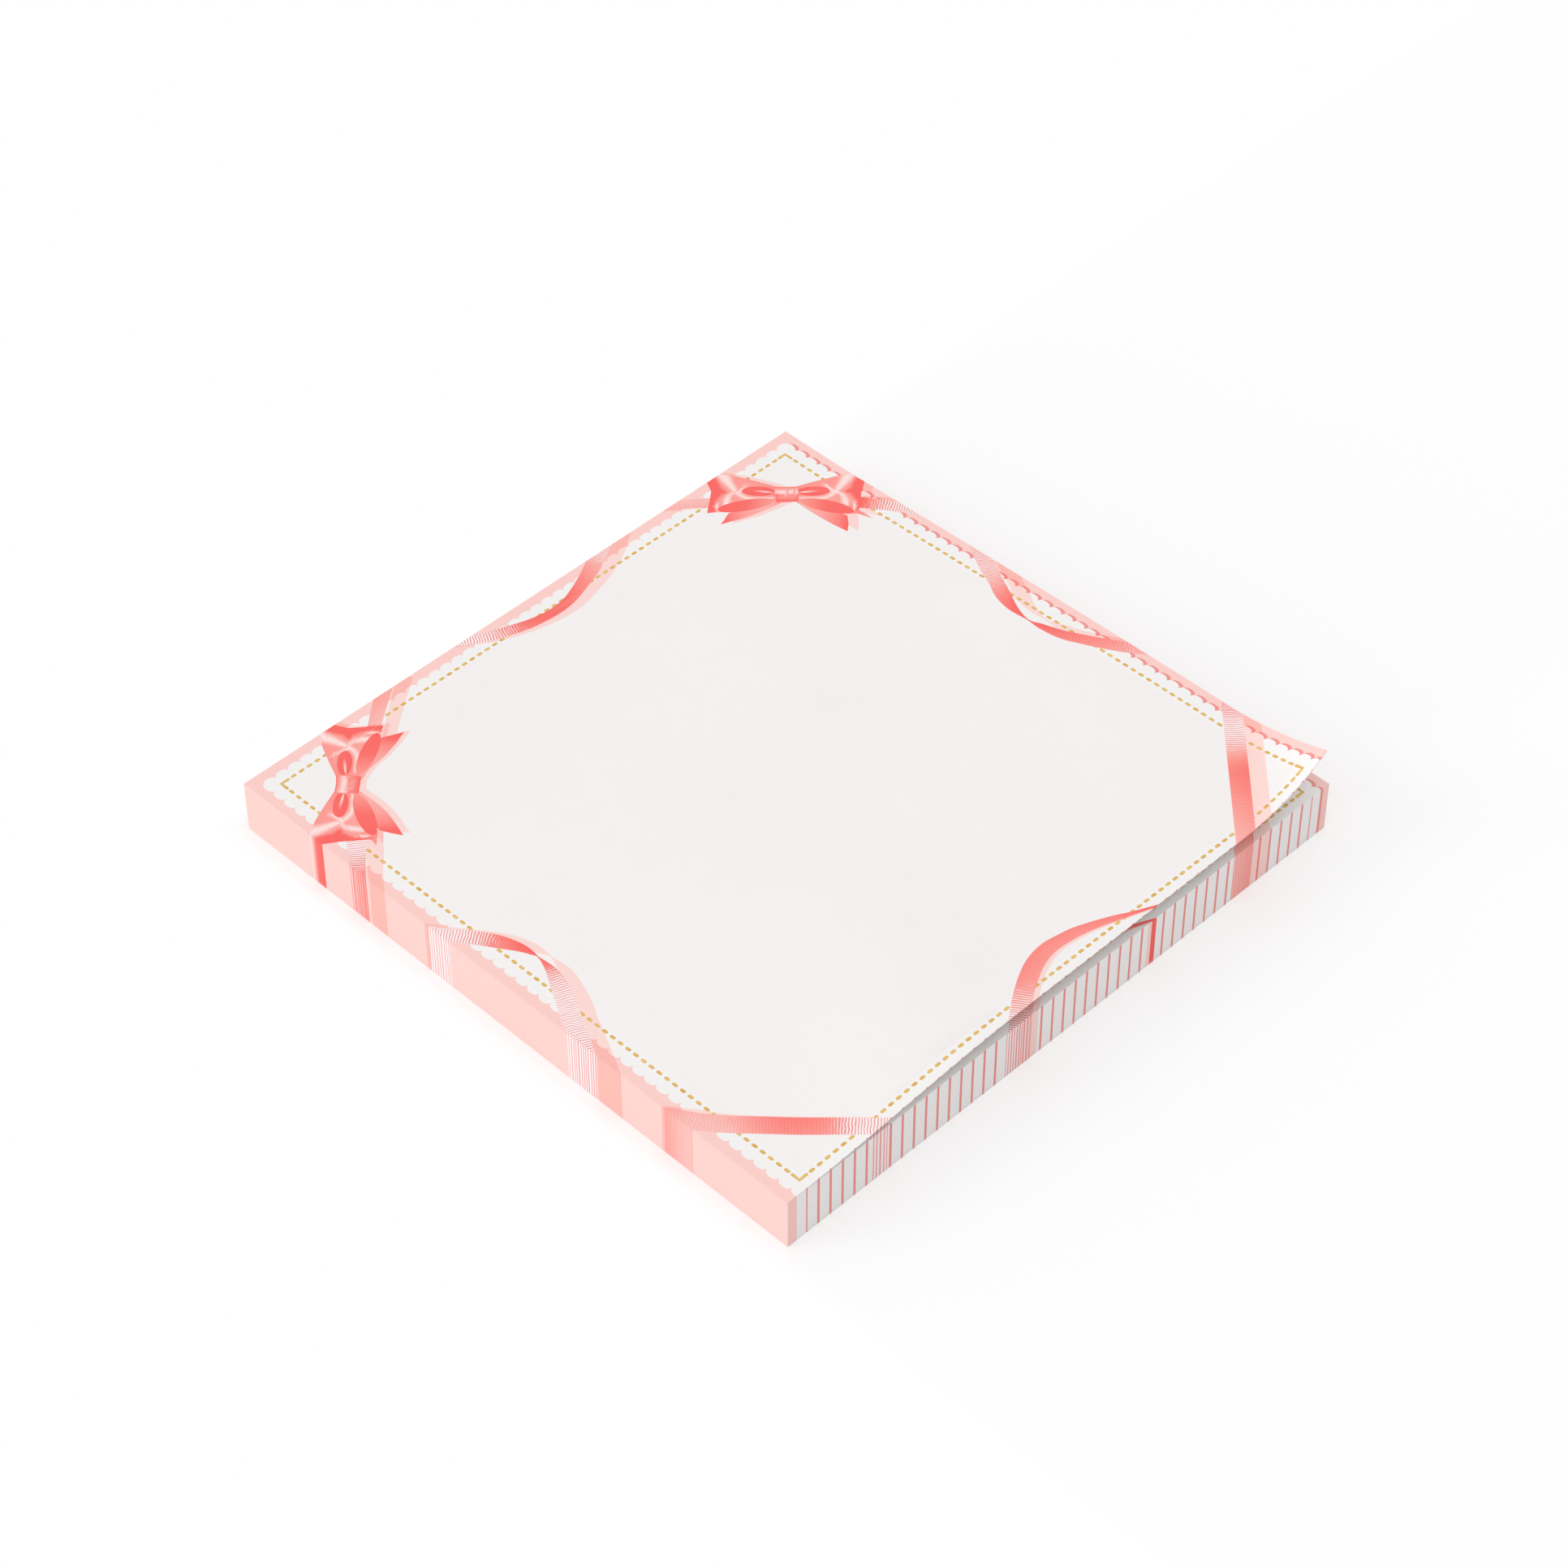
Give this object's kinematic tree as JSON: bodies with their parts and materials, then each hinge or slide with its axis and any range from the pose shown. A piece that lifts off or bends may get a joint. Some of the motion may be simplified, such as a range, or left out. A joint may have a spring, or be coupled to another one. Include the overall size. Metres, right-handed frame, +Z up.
{
  "type": "sticky note pad",
  "caption": "Square pad of adhesive notes on a backing card, glued along one edge, with the top note lifted and curling up at a free corner.",
  "frame": {"origin": "middle of the underside", "axes": "+Z up through the stack, +X across the notes, +Y towards their glued edge; the curled free corner is at +X, -Y"},
  "size_m": [0.0762, 0.0762, 0.0108],
  "materials": {
    "note_paper": "smooth uncoated, printed with a pink ribbon border",
    "backing_card": "uncoated white card",
    "adhesive": "thin matt pressure-sensitive glue"
  },
  "bodies": {
    "root": {"backing_sheet": "backing_card", "backing_adhesive": "adhesive", "page_block": "note_paper", "top_sheet_adhesive": "adhesive", "top_sheet": "note_paper"}
  },
  "joints": []
}
